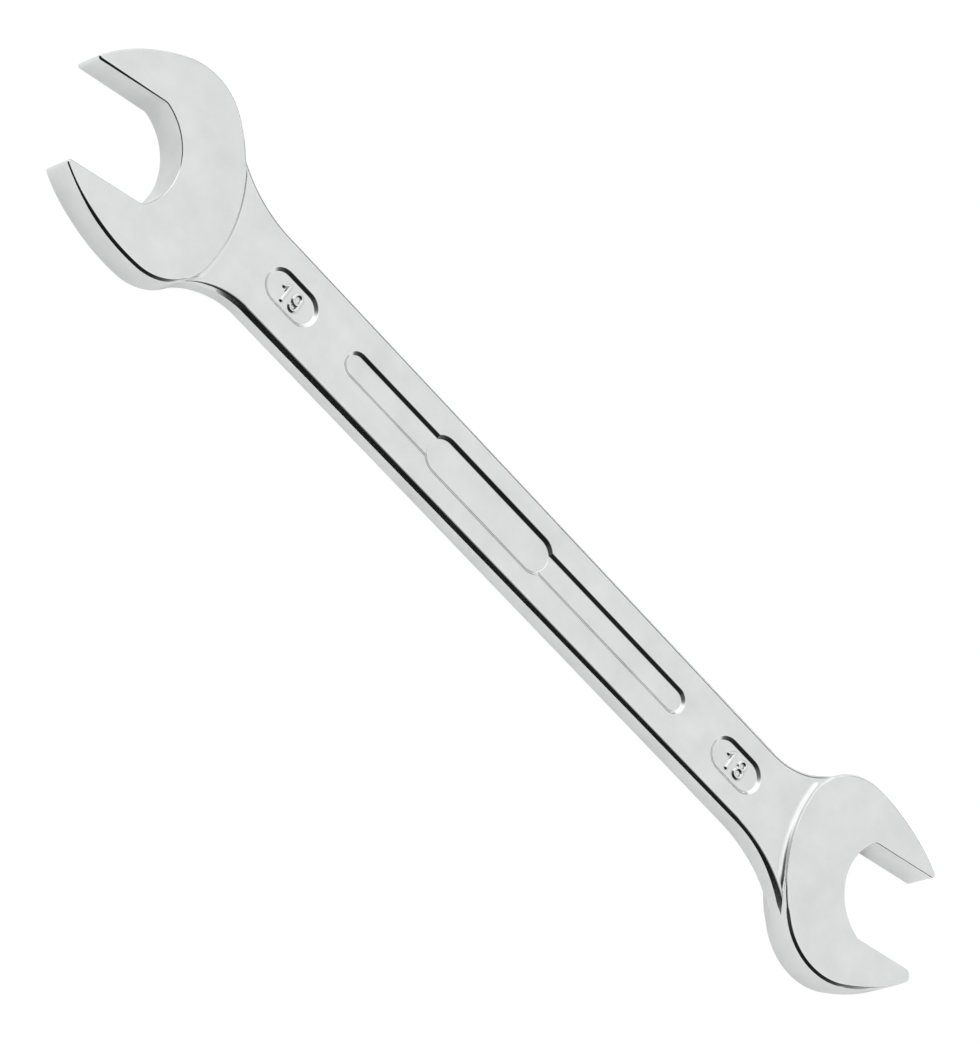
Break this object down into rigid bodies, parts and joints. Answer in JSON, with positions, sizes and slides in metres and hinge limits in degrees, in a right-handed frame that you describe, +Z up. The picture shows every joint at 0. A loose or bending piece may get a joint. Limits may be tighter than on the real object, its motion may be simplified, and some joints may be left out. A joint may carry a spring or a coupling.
{
  "type": "open end wrench",
  "caption": "Flat double open end wrench with offset jaws, a thinner shank, recessed panels on both faces and a satin chrome finish.",
  "frame": {"origin": "on the face that the wrench lies on, under the middle of its outline", "axes": "+X along the shank from the larger jaws to the smaller ones, +Z up out of the upper face"},
  "size_m": [0.2222, 0.0392, 0.0072],
  "materials": {
    "satin_chrome": "satin chrome plate over forged steel"
  },
  "bodies": {
    "root": {"wrench_forging": "satin_chrome"}
  },
  "joints": []
}
